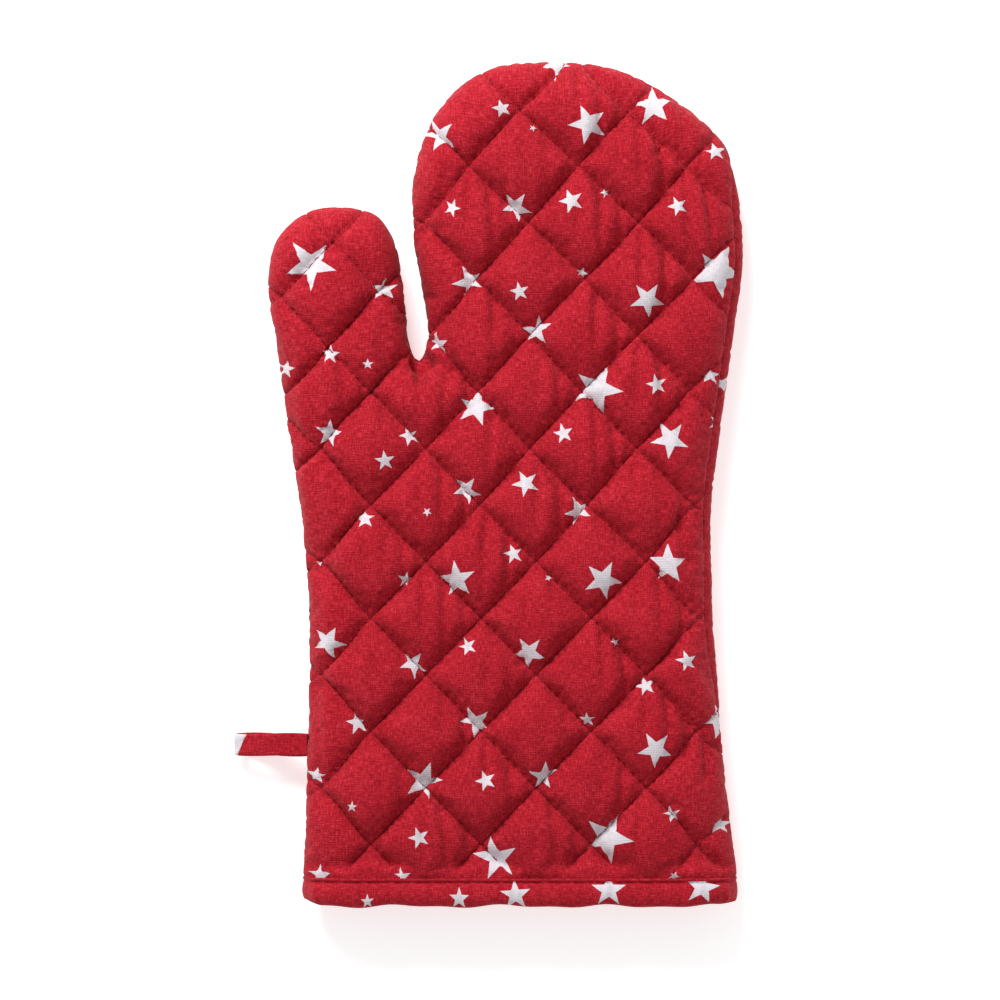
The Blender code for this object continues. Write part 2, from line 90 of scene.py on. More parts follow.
# Edge roll, quilting depth, print taken in by the furrows, wrinkles, and thicknesses of the cloths
ROLL = 20.0
ROLL_BACK = 14.0
SEAM_TURN = math.radians(30)
DEPTH = 5.0
DEPTH_BACK = 3.4
SWALLOW = 1.1
WAVE = 1.5
FOLD_GAP = 8.2
FOLD_DEPTH = 2.3
CLOTH = 0.45
LINING = 0.4
BINDING = 0.5
CUFF_THIN = 3.2
CROWN_LIFT = 0.8

# Cut sizes: point spacings, and how far beside each stitched line a row of extra points is kept
FRONT_STEP, BACK_STEP, LAYER_STEP = 1.6, 2.0, 3.2
BINDING_STEP, BINDING_STEP_ACROSS, LOOP_STEP = 0.8, 0.6, 0.6
BESIDE_LINES = 0.6

# Cloth simulation: pressure, growth and the furthest that a point may move
PUFF = {"front": (4.0, 0.05, 4.0), "back": (1.5, 0.02, 1.2)}
SIM_FRAMES = 18
SIM_SCALE = 20

# Threads: sides of a tube, seam, and each stitch's stations, lifts and girth along its length
TUBE_SIDES = 6
SEAM_RADIUS, SEAM_SUNK = 0.3, 0.35
STITCH_STATIONS = np.array([0.0, 0.12, 0.35, 0.65, 0.88, 1.0])
STITCH_LIFTS = np.array([-1.2, 0.1, 0.75, 0.75, 0.1, -1.2])
STITCH_GIRTHS = np.array([0.55, 1.0, 1.0, 1.0, 1.0, 0.55])
QUILTING_STITCH = dict(length=2.7, gap=1.1, radius=0.22)
BINDING_STITCH = dict(length=2.8, gap=1.0, radius=0.24)

# Folds running out of the crotch: route, depth and width
CREASES = [
    ([(-26.0, 46.5), (-19.5, 44.2), (-12.5, 40.0), (-7.5, 34.8), (-5.0, 30.0)], 4.2, 2.2),
    ([(-27.2, 46.5), (-26.6, 41.5), (-27.6, 36.0)], 1.8, 1.5),
    ([(-28.5, 46.5), (-31.5, 41.0), (-36.0, 37.5)], 1.0, 1.4),
]

# Star print: x, y, radius, turn in degrees clockwise from a point straight up
STARS = [
    (-67.5, 82, 10.2, 34), (-39, 73, 4.5, 0), (-60, 48, 3.9, 5), (-46, 44.5, 2.1, 0),
    (-77, 43, 3.4, 10), (-19, 131, 6.7, 54), (4, 141, 3.4, 51), (16, 133, 1.5, 20),
    (-14, 103, 3.5, 23), (10, 104, 6, 34), (31, 105.5, 4.6, 52), (43.6, 109, 2.1, 50),
    (71, 103.5, 3.7, 50), (37, 135, 7.4, 50), (62.6, 142, 7, -1), (86, 124.6, 3.4, 64),
    (87, 79.5, 10, 27), (-8.5, 75.6, 6.2, 47), (11.5, 72, 3.6, 61), (34.7, 79.6, 2.3, 20),
    (59.4, 69, 6.6, 34), (18.3, 57.4, 6, -1), (41, 35, 9.8, 24), (62.6, 36.5, 3.9, 59),
    (84.4, 39.7, 3.4, 5), (-5, 27.6, 7.2, 16), (-61, 18.3, 5.6, 11), (-30.5, 17.2, 4, 53),
    (-39.6, 8.2, 3.8, -7), (-8.7, -2.8, 5.7, 33), (-23.5, -11.2, 1.7, 36), (-46.7, -14.6, 3.7, -3),
    (-66, -31, 2.1, 10), (-12, -36.5, 7.1, -7), (-32, -36.6, 3.2, 10), (8.5, -27.3, 3.7, 60),
    (13.8, -0.9, 5, 46), (22, -36.4, 1.4, 20), (-61, -60, 6, 29), (-29, -68.6, 5.6, 37),
    (-8, -62.3, 3.5, 53), (15, -63.7, 6, 39), (47.5, -60.4, 2.1, 50), (74.5, -67.7, 3.9, 58),
    (-50.6, -91, 4.3, 60), (-5.4, -90, 6.2, 48), (-25, -112.6, 8, 19), (-1.5, -112.6, 3.9, 52),
    (-51.5, -122, 2.1, 5), (-26.4, -134, 4, 54), (2.8, -142, 8.5, 60), (-66, -110, 2.8, 10),
    (-64, -148.4, 4.2, 0), (-32.7, -148.8, 3.8, -10), (20.5, -110.5, 5.9, 4), (62.4, -100.4, 6.7, 41),
    (37, -88.8, 2.8, -6), (59, -77.8, 3.7, 54), (87.5, -90, 6.8, 47), (69, -125.3, 3.7, 56),
    (88.8, -130, 3.5, 5), (44.7, -134, 10, 26), (33.2, -11, 5.7, 47), (28.2, 18, 3.8, 60),
    (68.3, 16, 7.1, 41), (86.2, 22, 3.5, 20), (42.6, -36.7, 7.3, 26), (68, -31, 7.3, 2),
    (84.3, -21.4, 1.2, 0), (25.3, 158.8, 6, 36), (-19.9, 52.5, 4.1, 0), (70, -148.8, 3, 30),
]
BINDING_STARS = [
    (-46, -157.6, 2.6, 0), (-11.4, -156.6, 3.9, 0), (9.8, -155.7, 6, -5), (45, -154, 6.8, 0),
    (79.8, -153, 6.5, 12),
]
STAR_WAIST = 0.40
BACK_STARS = [(12.0 - x, y - 6.0, radius, -turn) for x, y, radius, turn in STARS]

# Which stitched lines cross a bend
LINE_SIDE = {f"{family}_{number:02d}": "palm" for family in ("rising", "falling") for number in range(1, 12)}
LINE_SIDE.update({f"falling_{number:02d}": "hand" for number in (8, 9, 10, 11)})
LINE_SIDE.update({f"rising_{number:02d}": "hand" for number in (3, 5, 6, 7, 8, 9)})
LINE_SIDE.update({name: "thumb" for name in ("falling_05", "falling_06", "rising_01", "rising_02")})


def smooth(value):
    value = np.clip(value, 0.0, 1.0)
    return value * value * (3.0 - 2.0 * value)


def spline(points, step):
    """Centripetal Catmull-Rom curve through the points, with a point about every step."""
    knots = [Vector(point) for point in points]
    knots = [2 * knots[0] - knots[1]] + knots + [2 * knots[-1] - knots[-2]]
    curve = []
    for p0, p1, p2, p3 in zip(knots, knots[1:], knots[2:], knots[3:]):
        t1 = (p1 - p0).length ** 0.5
        t2 = t1 + (p2 - p1).length ** 0.5
        t3 = t2 + (p3 - p2).length ** 0.5
        count = max(1, round((p2 - p1).length / step))
        for index in range(count):
            t = t1 + (t2 - t1) * index / count
            a1 = p0.lerp(p1, t / t1)
            a2 = p1.lerp(p2, (t - t1) / (t2 - t1))
            a3 = p2.lerp(p3, (t - t2) / (t3 - t2))
            b1 = a1.lerp(a2, t / t2)
            b2 = a2.lerp(a3, (t - t1) / (t3 - t1))
            curve.append(b1.lerp(b2, (t - t1) / (t2 - t1)))
    curve.append(knots[-2])
    return curve


def arc_lengths(path):
    """Distance along the path to each of its points."""
    return np.concatenate([[0.0], np.cumsum(np.linalg.norm(np.diff(path, axis=0), axis=1))])


def along_path(places, arc, path):
    """Points of the path at these distances along it."""
    return np.stack([np.interp(places, arc, path[:, k]) for k in range(path.shape[1])], axis=1)


def unit(rows):
    return rows / np.linalg.norm(rows, axis=1)[:, None]


def quarter_turn(rows):
    """Unit vectors square to these directions in the plane."""
    rows = unit(rows)
    return np.stack([-rows[:, 1], rows[:, 0]], axis=1)


def side_curve(step):
    """The sewn sides as an array, run straight down past the cuff at both ends."""
    curve = [tuple(point) for point in spline(OUTLINE, step)]
    below = CUFF_END + 2.0
    count = max(1, round((curve[0][1] - below) / step))
    drop = [curve[0][1] + (below - curve[0][1]) * i / count for i in range(1, count + 1)]
    right = [(curve[0][0], y) for y in reversed(drop)]
    left = [(curve[-1][0], y) for y in drop]
    return np.array(right + curve + left)


SIDES = side_curve(1.5)
FAR_SIDES = np.vstack([[SIDES[0][0], -400.0], SIDES, [SIDES[-1][0], -400.0]])
RIGHT, LEFT = SIDES[0][0], SIDES[-1][0]


def edge_field(points):
    """Distance to the sewn sides and the direction away from them, for an array of points."""
    points = np.atleast_2d(points)
    start = FAR_SIDES[:-1]
    along = FAR_SIDES[1:] - start
    lengths = (along * along).sum(axis=1)
    inward = np.stack([-along[:, 1], along[:, 0]], axis=1) / np.sqrt(lengths)[:, None]
    distance = np.empty(len(points))
    away = np.empty((len(points), 2))
    for first in range(0, len(points), 2000):
        block = points[first:first + 2000]
        offset = block[:, None, :] - start[None]
        t = np.clip((offset * along[None]).sum(axis=2) / lengths[None], 0.0, 1.0)
        gap = offset - t[:, :, None] * along[None]
        squares = (gap * gap).sum(axis=2)
        best = squares.argmin(axis=1)
        rows = np.arange(len(block))
        d = np.sqrt(squares[rows, best])
        direction = gap[rows, best] / np.maximum(d, 1e-9)[:, None]
        near = d < 0.02
        direction[near] = inward[best[near]]
        distance[first:first + 2000] = d
        away[first:first + 2000] = direction
    return distance, away


def inside(points, ring=SIDES):
    """Even-odd test against a ring of points, by default the sides closed across the cuff."""
    polygon = np.vstack([ring, ring[:1]])
    x0, y0 = polygon[:-1, 0], polygon[:-1, 1]
    x1, y1 = polygon[1:, 0], polygon[1:, 1]
    found = np.zeros(len(points), bool)
    for first in range(0, len(points), 4000):
        block = points[first:first + 4000]
        x, y = block[:, 0][:, None], block[:, 1][:, None]
        spans = (y0 > y) != (y1 > y)
        crossing = x0 + (y - y0) * (x1 - x0) / np.where(y1 == y0, 1e-9, y1 - y0)
        found[first:first + 4000] = (spans & (x < crossing)).sum(axis=1) % 2 == 1
    return found


# Quilting lattice. Whole u falls to the right, whole v rises to the right.

def thumb_side(x, y):
    return x < NOTCH_X - 0.12 * np.maximum(0.0, y - NOTCH_Y)


def finger_shift(x, y):
    """Sideways shift of the lattice: a lean over the fingers, and less cloth across the heel."""
    lean = FINGER_LEAN * smooth((y - NOTCH_Y) / 110.0)
    gather = HEEL_SHIFT * smooth((x + 35.0) / 80.0)
    return lean + gather * smooth((y + 30.0) / 45.0) * smooth((95.0 - y) / 45.0)


def thumb_shift(v):
    return THUMB_LEAN * smooth((THUMB_START_V - v) / 1.2)


def plain_uv(x, y):
    across = (x - LATTICE_X) / PITCH_X
    up = (y - LATTICE_Y) / PITCH_Y
    return across + up, across - up


def on_thumb(x, y):
    return (plain_uv(x, y)[1] < THUMB_START_V) & thumb_side(x, y)


def lattice_uv(x, y):
    u, v = plain_uv(x, y)
    hand_u, hand_v = plain_uv(x - finger_shift(x, y), y)
    thumb = on_thumb(x, y)
    return np.where(thumb, u, hand_u), np.where(thumb, v + thumb_shift(v), hand_v)


def lattice_point(u, v, thumb):
    if thumb:
        low, high = v, v - THUMB_LEAN
        for _ in range(40):
            middle = (low + high) / 2
            low, high = np.where(middle + thumb_shift(middle) < v, middle, low), np.where(
                middle + thumb_shift(middle) < v, high, middle)
        v = high
    x = LATTICE_X + PITCH_X * (u + v) / 2
    y = LATTICE_Y + PITCH_Y * (u - v) / 2
    if thumb:
        return x, y
    seen = x
    for _ in range(6):
        seen = x + finger_shift(seen, y)
    return seen, y


def stitched_lines(step):
    """Every stitched line as it is seen from above: (family, list of points) in CAD order."""
    lines = []
    for family in ("rising", "falling"):
        for number in range(-7, 8):
            runs = []
            for thumb in (False, True):
                t = np.arange(-8.0, 9.0, 0.02)
                fixed = np.full_like(t, number)
                u, v = (fixed, t) if family == "falling" else (t, fixed)
                x, y = lattice_point(u, v, thumb)
                spots = np.stack([x, y], axis=1)
                good = inside(spots) & (y > CUFF_TOP + 4.5) & (on_thumb(x, y) == thumb)
                start = None
                for i in range(len(t) + 1):
                    if i < len(t) and good[i]:
                        start = i if start is None else start
                    elif start is not None:
                        runs.append((t[start], spots[start:i]))
                        start = None
            joined = []
            for _, run in sorted(runs, key=lambda item: item[0]):
                if joined and np.hypot(*(joined[-1][-1] - run[0])) < 2.0:
                    joined[-1] = np.vstack([joined[-1], run])
                else:
                    joined.append(run)
            for run in joined:
                if np.hypot(*(run[-1] - run[0])) >= 34.0:
                    lines.append((family, resample(run, step)))
    return lines


def resample(path, step):
    """The same path with even steps between its points."""
    lengths = np.concatenate([[0.0], np.cumsum(np.hypot(*np.diff(path, axis=0).T))])
    count = max(2, round(lengths[-1] / step) + 1)
    return along_path(np.linspace(0.0, lengths[-1], count), lengths, path)


# The padded edge: how a net's distance from the seam becomes an inset seen from above and an angle.

def seam_angle(points):
    """On the right the seam has rolled a little onto the front."""
    x, y = points[:, 0], points[:, 1]
    return SEAM_TURN * smooth((x - 30.0) / 30.0) * smooth((y + 105.0) / 45.0) * smooth((128.0 - y) / 25.0)


def roll_of(panel, points, distance):
    """(inset seen from above, angle of the surface) for points at a net distance from the seam."""
    turn = seam_angle(points)
    if panel == "front":
        t = np.clip(distance / ROLL, 0.0, 1.0)
        angle = turn + (math.pi / 2 - turn) * t
        inset = np.where(distance < ROLL, ROLL * (1 - np.cos(angle)), distance)
        return inset, angle
    t = np.clip(distance / ROLL_BACK, 0.0, 1.0)
    angle = turn - (math.pi / 2 + turn) * t
    radius = np.where(angle > 0, ROLL, ROLL_BACK)
    inset = np.where(distance < ROLL_BACK, radius * (1 - np.cos(angle)), distance)
    return inset, angle


def net_distance(panel, points, inset):
    """The net distance that rolls to this inset, the inverse of roll_of."""
    turn = seam_angle(points)
    radius = ROLL if panel == "front" else ROLL_BACK
    angle = np.arccos(np.clip(1 - inset / radius, -1.0, 1.0))
    if panel == "front":
        rolled = ROLL * (angle - turn) / (math.pi / 2 - turn)
    else:
        rolled = ROLL_BACK * (angle + turn) / (math.pi / 2 + turn)
    return np.where(inset < radius, rolled, inset)


def unroll(panel, points):
    """Where a point seen from above lies on the flat net."""
    points = np.atleast_2d(np.asarray(points, float))
    distance, away = edge_field(points)
    keep = inside(points)
    moved = net_distance(panel, points, distance) - distance
    return points + away * np.where(keep, moved, 0.0)[:, None]


def swallow(points):
    """Moves print towards the stitched lines, where the crease takes in a strip of cloth."""
    x, y = points[:, 0], points[:, 1]
    u, v = lattice_uv(x, y)
    moved = points.copy()
    for value, sign in ((v, -1.0), (u, 1.0)):
        offset = (value - np.round(value)) * LINE_GAP
        size = np.abs(offset)
        share = SWALLOW if sign < 0 else SWALLOW * 0.7
        pull = np.minimum(size * 0.85, share * np.clip(1 - size / 7.0, 0, 1))
        step = -np.sign(offset) * pull
        moved[:, 0] += step * LINE_GAP / PITCH_X
        moved[:, 1] += step * LINE_GAP / PITCH_Y * sign
    return moved


def star_outline(x, y, radius, turn, step=0.9):
    """Closed outline of a five-pointed star, with points along its sides."""
    corners = []
    for i in range(10):
        reach = radius if i % 2 == 0 else radius * STAR_WAIST
        angle = math.radians(turn) + math.pi * i / 5
        corners.append((x + reach * math.sin(angle), y + reach * math.cos(angle)))
    points = []
    for a, b in zip(corners, corners[1:] + corners[:1]):
        count = max(1, round(math.dist(a, b) / step))
        points += [(a[0] + (b[0] - a[0]) * k / count, a[1] + (b[1] - a[1]) * k / count)
                   for k in range(count)]
    return np.array(points)


def hex_grid(low, high, step):
    rows = []
    for j, y in enumerate(np.arange(low[1], high[1], step * 0.866)):
        x = np.arange(low[0] + (step / 2 if j % 2 else 0.0), high[0], step)
        rows.append(np.stack([x, np.full_like(x, y)], axis=1))
    grid = np.vstack(rows)
    return grid + RANDOM.uniform(-0.12, 0.12, grid.shape) * step


def far_from(points, others, gap):
    """True for points with none of the others within the gap, by a coarse hash grid."""
    cells = {}
    for x, y in others:
        cells.setdefault((int(x // gap), int(y // gap)), []).append((x, y))
    clear = np.ones(len(points), bool)
    for index, (x, y) in enumerate(points):
        i, j = int(x // gap), int(y // gap)
        for near in ((i + a, j + b) for a in (-1, 0, 1) for b in (-1, 0, 1)):
            if any((x - p) ** 2 + (y - q) ** 2 < gap * gap for p, q in cells.get(near, ())):
                clear[index] = False
                break
    return clear


class Net:
    """A flat triangulated cut of cloth, with printed faces marked and lines kept as edges."""

    def __init__(self, outline, step, stars=(), lines=(), extra=None):
        loops = [np.asarray(outline)]
        edges = [(i, (i + 1) % len(outline)) for i in range(len(outline))]
        faces = [list(range(len(outline)))]
        total = len(outline)
        labels = {}
        for name, path in lines:
            loops.append(path)
            for i in range(len(path) - 1):
                labels[len(edges)] = name
                edges.append((total + i, total + i + 1))
            total += len(path)
        for ring in stars:
            loops.append(ring)
            edges += [(total + i, total + (i + 1) % len(ring)) for i in range(len(ring))]
            total += len(ring)
        fixed = np.vstack(loops)
        if extra is not None:
            extra = extra[far_from(extra, fixed, 0.45)]
            fixed = np.vstack([fixed, extra])
        grid = hex_grid(loops[0].min(axis=0), loops[0].max(axis=0), step)
        grid = grid[far_from(grid, fixed, step * 0.62)]
        everything = [Vector(p) for p in np.vstack([fixed, grid])]
        result = delaunay_2d_cdt(everything, edges, faces, 0, 1e-5)
        points = np.array([tuple(p) for p in result[0]])
        triangles = []
        for face, origin in zip(result[2], result[5]):
            if 0 in origin:
                triangles += [(face[0], face[k], face[k + 1]) for k in range(1, len(face) - 1)]
        used = np.unique(np.array(triangles))
        place = np.full(len(points), -1)
        place[used] = np.arange(len(used))
        self.points = points[used]
        self.triangles = place[np.array(triangles)]
        self.printed = np.zeros(len(self.triangles), bool)
        centres = self.points[self.triangles].mean(axis=1)
        for ring in stars:
            low, high = ring.min(axis=0), ring.max(axis=0)
            near = np.nonzero(((centres > low) & (centres < high)).all(axis=1))[0]
            self.printed[near[inside(centres[near], ring)]] = True
        chains = {}
        for edge, origin in zip(result[1], result[4]):
            for source in origin:
                if source in labels and place[edge[0]] >= 0 and place[edge[1]] >= 0:
                    chains.setdefault(labels[source], set()).update(edge)
        self.lines = {name: sorted((int(place[i]) for i in chain), key=lambda i: self.points[i][0])
                      for name, chain in chains.items()}


def boundary_loops(triangles):
    """Directed edges that only one triangle has."""
    edges = np.vstack([triangles[:, [0, 1]], triangles[:, [1, 2]], triangles[:, [2, 0]]])
    keys = {(int(a), int(b)) for a, b in edges}
    return [(a, b) for a, b in keys if (b, a) not in keys]


def vertex_normals(points, triangles):
    corners = points[triangles]
    cross = np.cross(corners[:, 1] - corners[:, 0], corners[:, 2] - corners[:, 0])
    normals = np.zeros_like(points)
    for k in range(3):
        np.add.at(normals, triangles[:, k], cross)
    return normals / np.maximum(np.linalg.norm(normals, axis=1), 1e-12)[:, None]


def part_of(points, triangles, chosen):
    """The vertices and renumbered triangles of the chosen faces."""
    kept = triangles[chosen]
    used = np.unique(kept)
    place = np.full(len(points), -1)
    place[used] = np.arange(len(used))
    return used, place[kept]


# Shapes of the layers

def on_thumb_seen(panel, points):
    distance, away = edge_field(points)
    seen = points + away * (roll_of(panel, points, distance)[0] - distance)[:, None]
    return on_thumb(seen[:, 0], seen[:, 1])


def rolled(panel, points):
    """(seen x and y, heights of the smooth outer face, normals, inset, net distance)."""
    distance, away = edge_field(points)
    inset, angle = roll_of(panel, points, distance)
    seen = points + away * (inset - distance)[:, None]
    sin, cos = np.sin(angle), np.cos(angle)
    thin = CUFF_THIN * (1 - smooth((seen[:, 1] - CUFF_TOP + 1.0) / 26.0))
    if panel == "front":
        z = SEAM + (TOP - SEAM + CROWN_LIFT - thin) * sin
    else:
        z = SEAM + np.where(angle > 0, TOP - SEAM + CROWN_LIFT, SEAM - thin) * sin
    normals = np.column_stack([-away * cos[:, None], sin])
    return seen, z, normals, inset, distance


def quilting(seen):
    """0 on the stitched lines, 1 in the middle of each padded diamond."""
    u, v = lattice_uv(seen[:, 0], seen[:, 1])
    rise_u = np.clip(np.abs(u - np.round(u)) * 2, 0, 1)
    rise_v = np.clip(np.abs(v - np.round(v)) * 2, 0, 1)
    dome_u = np.sqrt(1 - (1 - rise_u) ** 2)
    dome_u = 1 - (1 - dome_u) * np.where(on_thumb(seen[:, 0], seen[:, 1]), THUMB_FALLING, 1.0)
    dome_v = np.sqrt(1 - (1 - rise_v) ** 2)
    puff = (dome_u * dome_v) ** 0.8
    near_cuff = smooth((seen[:, 1] - CUFF_TOP - 1.5) / 5.0)
    return 1 - (1 - puff) * near_cuff


def stitch_dimples(seen):
    """Small dents where each stitch pulls the cloth down, eight to a diamond's side."""
    u, v = lattice_uv(seen[:, 0], seen[:, 1])
    off_u = (u - np.round(u)) * LINE_GAP
    off_v = (v - np.round(v)) * LINE_GAP
    beside_v = np.exp(-(off_v / 1.5) ** 2) * np.cos(16 * math.pi * u)
    beside_u = np.exp(-(off_u / 1.5) ** 2) * np.cos(16 * math.pi * v)
    return 0.32 * (beside_u + beside_v) * smooth((seen[:, 1] - CUFF_TOP - 5.0) / 5.0)


def noise_field(seen, across, along, level):
    return np.array([noise.noise(Vector((x / across + y / 120.0, y / along, level))) for x, y in seen])


def slack(seen):
    """Loose cloth: soft waves, and upright folds that run down from each diamond's upper right side."""
    x, y = seen.T
    u, _ = lattice_uv(x, y)
    waves = noise_field(seen, 5.6, 42.0, 3.1)
    phase = x / FOLD_GAP + 0.5 * noise_field(seen, 38.0, 55.0, 8.7)
    valleys = smooth((np.cos(2 * math.pi * phase) + 0.15) / 1.15)
    reach = smooth((u - np.floor(u) - 0.2) / 0.5) * smooth(noise_field(seen, 27.0, 27.0, 5.2) * 2.4 + 0.75)
    gather = smooth((x + 45.0) / 30.0)
    puffed = smooth(quilting(seen) / 0.6) * smooth((y - CUFF_TOP - 2.0) / 10.0)
    return (WAVE * waves - FOLD_DEPTH * valleys * reach * (0.35 + 0.65 * gather)) * puffed


def creases(seen):
    """Folds that run out of the crotch between thumb and fingers."""
    sink = np.zeros(len(seen))
    for points, depth, width in CREASES:
        path = np.array([tuple(p) for p in spline(points, 0.5)])
        gaps = np.linalg.norm(seen[:, None, :] - path[None], axis=2)
        nearest = gaps.argmin(axis=1)
        share = nearest / (len(path) - 1)
        sink += depth * (1 - smooth((share - 0.55) / 0.45)) * np.exp(-(gaps.min(axis=1) / width) ** 2)
    return sink


def line_depth(distance):
    """The stitched lines run out as they near the seam."""
    return 0.12 + 0.88 * smooth((distance - 1.0) / 17.0)


def outer_shape(panel, points):
    """Rolled and quilted outer face of a panel for points of its net."""
    seen, z, normals, _, distance = rolled(panel, points)
    depth = DEPTH if panel == "front" else DEPTH_BACK
    sink = depth * (1 - quilting(seen)) * line_depth(distance)
    sink += 0.45 * np.exp(-(distance / 1.0) ** 2)
    sink += stitch_dimples(seen) * smooth(distance / 6.0)
    shape = np.column_stack([seen, z]) - normals * sink[:, None]
    shape[:, 2] = np.maximum(shape[:, 2], 0.0)
    return shape


def inner_shape(panel, points, share):
    """A layer inside the panel: share 0 is just under the outer cloth, 1 is the lining."""
    seen, z, normals, inset, distance = rolled(panel, points)
    depth = DEPTH if panel == "front" else DEPTH_BACK
    sink = depth * (1 - quilting(seen)) * line_depth(distance)
    if panel == "front":
        sink += creases(seen) * smooth(distance / 2.8)
    sink -= np.minimum(slack(seen), 0.0) * smooth((distance - 2.0) / 10.0)
    sink += NOTCH_SINK * np.exp(-(np.hypot(seen[:, 0] - NOTCH_X, seen[:, 1] - NOTCH_Y) / NOTCH_SPREAD) ** 2)
    full = 3.0 + 5.0 * smooth(inset / 16.0) * smooth((seen[:, 1] - CUFF_TOP) / 20.0)
    gap = 2.2 + 0.5 * (1 - smooth((seen[:, 1] - CUFF_TOP - 2.0) / 8.0))
    top, low = sink + gap, np.maximum(full, sink + gap + 1.3)
    depth_at = top + (low - top) * share
    return np.column_stack([seen, z]) - normals * depth_at[:, None]


# Meshes

def add_piece(name, points, triangles, marks=None, flat=None, materials=()):
    """A mesh piece in metres, shaded smooth, with the flat cut as its UVs."""
    mesh = bpy.data.meshes.new(name)
    faces = triangles.tolist() if isinstance(triangles, np.ndarray) else triangles
    mesh.from_pydata((np.asarray(points) * MM).tolist(), [], faces)
    mesh.polygons.foreach_set("use_smooth", [True] * len(mesh.polygons))
    if marks is not None:
        mesh.polygons.foreach_set("material_index", np.asarray(marks, int))
    if flat is not None:
        layer = mesh.uv_layers.new(name="flat")
        corners = np.empty(len(mesh.loops), int)
        mesh.loops.foreach_get("vertex_index", corners)
        layer.data.foreach_set("uv", (np.asarray(flat)[corners] * MM).ravel())
    for made in materials:
        mesh.materials.append(made)
    mesh.update()
    piece = bpy.data.objects.new(name, mesh)
    bpy.context.collection.objects.link(piece)
    return piece


def doubled(points, triangles, thickness, marks=None, flat=None, normals=None):
    """The sheet with a second face behind it, closed round its rim."""
    if normals is None:
        normals = vertex_normals(points, triangles)
    count = len(points)
    behind = points - normals * thickness
    faces = triangles.tolist() + (triangles[:, ::-1] + count).tolist()
    rim = sorted(boundary_loops(triangles))
    faces += [[b, a, a + count, b + count] for a, b in rim]
    new_marks = None
    if marks is not None:
        new_marks = list(marks) + [0] * (len(triangles) + len(rim))
    new_flat = None if flat is None else np.vstack([flat, flat])
    return np.vstack([points, behind]), faces, new_marks, new_flat


def relax(points, triangles, pinned, pressure, growth, cap):
    """A short cloth simulation of a puffed face between its stitched lines."""
    scale = SIM_SCALE * MM
    mesh = bpy.data.meshes.new("relaxing")
    mesh.from_pydata((points * scale).tolist(), [], triangles.tolist())
    piece = bpy.data.objects.new("relaxing", mesh)
    bpy.context.collection.objects.link(piece)
    group = piece.vertex_groups.new(name="pin")
    group.add([int(i) for i in pinned], 1.0, "REPLACE")
    cloth = piece.modifiers.new("Cloth", "CLOTH")
    settings = cloth.settings
    settings.quality = 5
    settings.mass = 0.3
    settings.air_damping = 3.0
    settings.tension_stiffness = 15.0
    settings.compression_stiffness = 15.0
    settings.shear_stiffness = 5.0
    settings.bending_stiffness = 2.0
    settings.use_pressure = True
    settings.uniform_pressure_force = pressure
    settings.shrink_min = -growth
    settings.vertex_group_mass = "pin"
    settings.effector_weights.gravity = 0.0
    scene = bpy.context.scene
    for number in range(1, SIM_FRAMES + 1):
        scene.frame_set(number)
    evaluated = piece.evaluated_get(bpy.context.evaluated_depsgraph_get())
    moved = np.empty(len(points) * 3)
    evaluated.data.vertices.foreach_get("co", moved)
    moved = moved.reshape(-1, 3) / scale
    scene.frame_set(1)
    bpy.data.objects.remove(piece)
    bpy.data.meshes.remove(mesh)
    shift = moved - points
    length = np.linalg.norm(shift, axis=1)
    shift *= np.minimum(1.0, cap / np.maximum(length, 1e-9))[:, None]
    return points + shift


def add_tube(points, faces, centres, across, ups, radii):
    """Adds a tube round the centres, closed at both ends, to the lists of points and faces."""
    base = len(points)
    last = base + (len(centres) - 1) * TUBE_SIDES
    for centre, side, up, radius in zip(centres, across, ups, radii):
        for i in range(TUBE_SIDES):
            turn = 2 * math.pi * i / TUBE_SIDES
            points.append(centre + (side * math.cos(turn) + up * math.sin(turn)) * radius)
    for ring in range(base, last, TUBE_SIDES):
        for i in range(TUBE_SIDES):
            a, b = ring + i, ring + (i + 1) % TUBE_SIDES
            faces.append((a, b, b + TUBE_SIDES, a + TUBE_SIDES))
    faces.append(tuple(range(base + TUBE_SIDES - 1, base - 1, -1)))
    faces.append(tuple(range(last, last + TUBE_SIDES)))


def stitches(name, path, ups, length, gap, radius):
    """A row of short raised threads along a path, their ends dipping into the cloth."""
    arc = arc_lengths(path)
    points, faces = [], []
    start = gap / 2
    while start + length < arc[-1]:
        stations = start + length * STITCH_STATIONS
        centre = along_path(stations, arc, path)
        up = unit(along_path(stations, arc, ups))
        across = unit(np.cross(np.gradient(centre, axis=0), up))
        centre = centre + up * (STITCH_LIFTS * radius)[:, None]
        add_tube(points, faces, centre, across, up, radius * STITCH_GIRTHS)
        start += length + gap
    return add_piece(name, np.array(points), faces, materials=(THREAD_WITH_PAINTED_SHADE,))


# Materials

def new_material(name):
    made = bpy.data.materials.new(name)
    made.use_nodes = True
    tree = made.node_tree
    return made, tree, tree.nodes["Principled BSDF"]


def add_node(tree, kind, **values):
    found = tree.nodes.new(kind)
    for key, value in values.items():
        if hasattr(found, key):
            setattr(found, key, value)
        else:
            found.inputs[key.replace("_", " ")].default_value = value
    return found


def streaks(tree, coordinate, stretch, detail=2.0):
    mapping = add_node(tree, "ShaderNodeMapping")
    mapping.inputs["Scale"].default_value = stretch
    texture = add_node(tree, "ShaderNodeTexNoise", Scale=1.0, Detail=detail, Roughness=0.6)
    tree.links.new(coordinate, mapping.inputs["Vector"])
    tree.links.new(mapping.outputs["Vector"], texture.inputs["Vector"])
    return texture.outputs["Fac"]


def combine(tree, operation, first, second):
    node = add_node(tree, "ShaderNodeMath", operation=operation)
    for socket, value in zip(node.inputs, (first, second)):
        if isinstance(value, (int, float)):
            socket.default_value = value
        else:
            tree.links.new(value, socket)
    return node.outputs[0]


